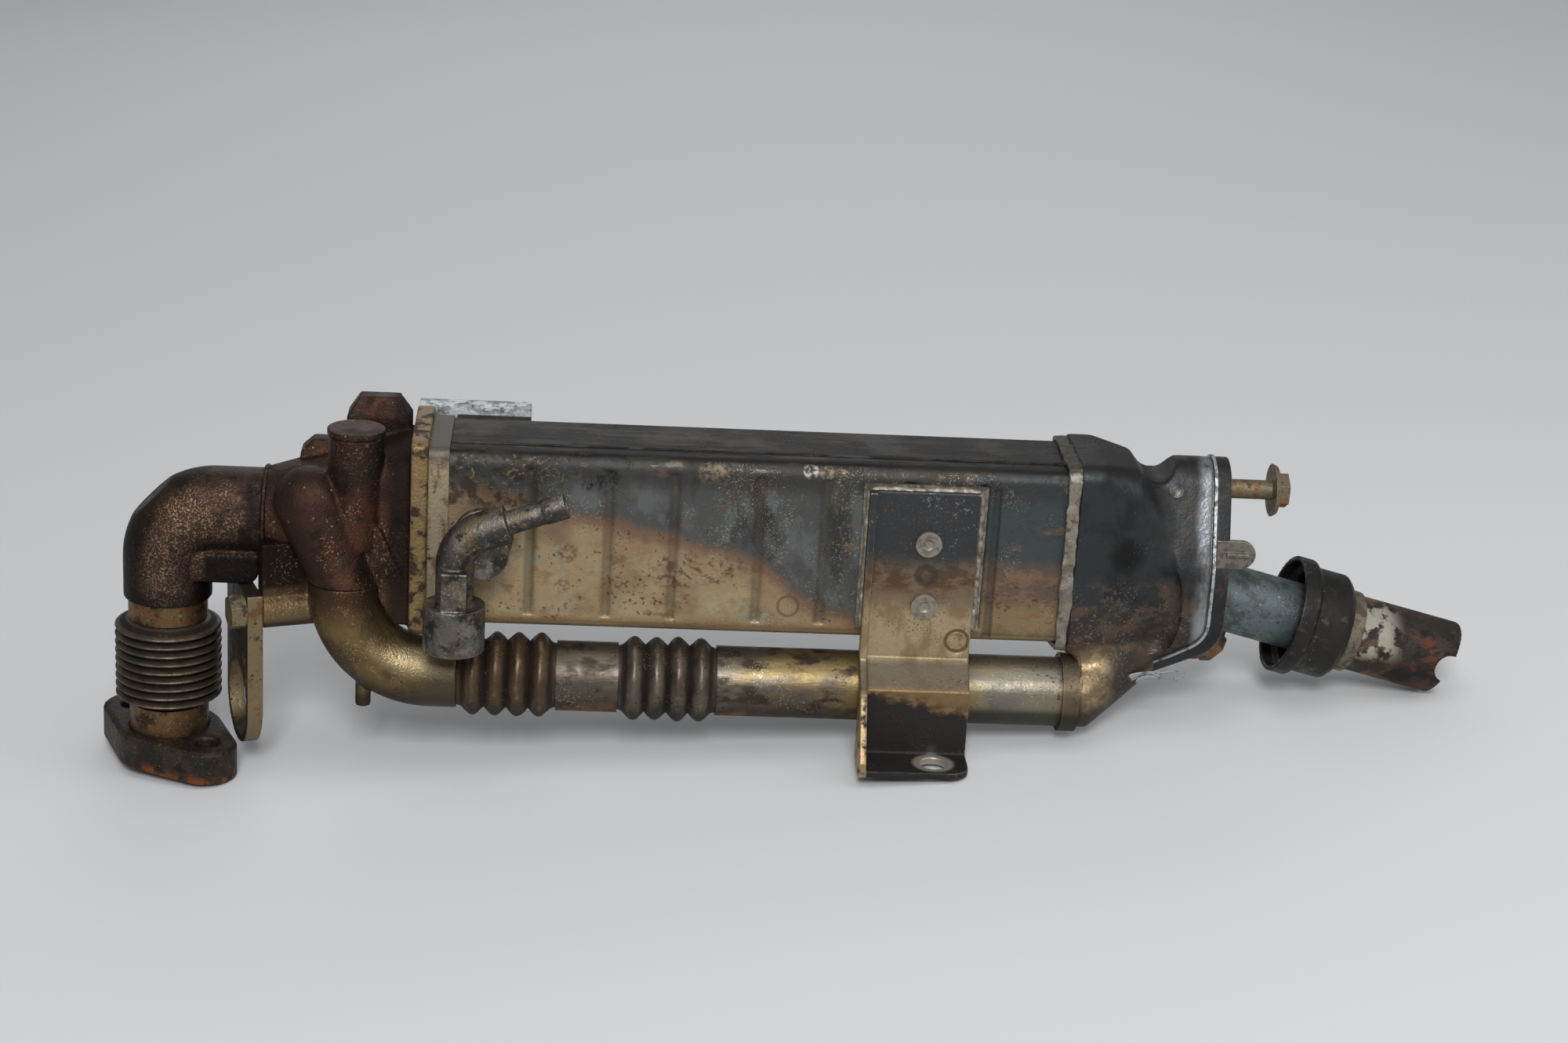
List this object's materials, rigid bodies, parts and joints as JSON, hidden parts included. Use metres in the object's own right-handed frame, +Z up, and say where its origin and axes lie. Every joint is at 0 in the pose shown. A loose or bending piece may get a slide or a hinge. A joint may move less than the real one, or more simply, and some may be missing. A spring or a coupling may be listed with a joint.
{
  "type": "egr cooler",
  "caption": "Exhaust gas cooler with a flanged bellows inlet, boxed tube core, bypass pipe, foot bracket and plug-in outlet nozzle; cools recirculated exhaust.",
  "frame": {"origin": "centre of the inlet flange's gasket face, on the inlet bellows axis", "axes": "+X along the core from inlet to outlet, +Y to the rear of the core, +Z up from the inlet gasket face"},
  "size_m": [0.5695, 0.1215, 0.155],
  "materials": {
    "rusted_iron": "dark casting with surface rust",
    "scaled_iron": "brown heat scale",
    "tempered_steel": "straw and brown heat tint",
    "bellows_steel": "dull grey-brown steel",
    "core_steel": "blue-black to straw heat tint",
    "inner_steel": "plain steel",
    "weld_steel": "pale weld metal",
    "blued_steel": "blue-black heat tint",
    "bracket_steel": "blue-black to gold heat tint",
    "zinc_steel": "dull bluish zinc",
    "sooty_steel": "sooty steel",
    "rusted_bolt": "rusty zinc",
    "cast_alloy": "weathered casting",
    "corroded_alloy": "white corroded casting",
    "gasket_foil": "bright torn foil",
    "gasket": "matt"
  },
  "bodies": {
    "root": {"inlet_flange": "rusted_iron", "inlet_lower_collar": "tempered_steel", "inlet_bellows": "bellows_steel", "inlet_upper_collar": "tempered_steel", "inlet_elbow": "scaled_iron", "collector_housing": "scaled_iron", "boss_cap": "scaled_iron", "side_bracket": "tempered_steel", "side_bracket_bolt": "rusted_bolt", "core_inlet_collar": "tempered_steel", "core_front_shell": "core_steel", "core_rear_shell": "core_steel", "inlet_header": "inner_steel", "outlet_header": "inner_steel", "gas_tubes": "inner_steel", "core_outlet_band": "weld_steel", "bypass_branch": "tempered_steel", "bypass_front_bellows": "bellows_steel", "bypass_mid_tube": "tempered_steel", "bypass_rear_bellows": "bellows_steel", "bypass_long_tube": "tempered_steel", "bypass_end_ring": "tempered_steel", "outlet_end_cap": "blued_steel", "bypass_horn": "tempered_steel", "outlet_pan": "blued_steel", "outlet_gasket": "gasket_foil", "outlet_plate": "blued_steel", "locating_tab": "weld_steel", "outlet_bolts": "rusted_bolt", "outlet_tube": "zinc_steel", "outlet_cup": "sooty_steel", "nozzle_ring": "weld_steel", "mixing_nozzle": "sooty_steel", "bracket_doubler": "core_steel", "support_bracket": "bracket_steel", "bracket_rivets": "weld_steel", "coolant_boss": "cast_alloy", "coolant_elbow": "cast_alloy", "rear_coolant_pad": "core_steel", "rear_coolant_gasket": "gasket", "rear_coolant_flange": "corroded_alloy", "rear_flange_screws": "rusted_bolt"}
  },
  "joints": []
}
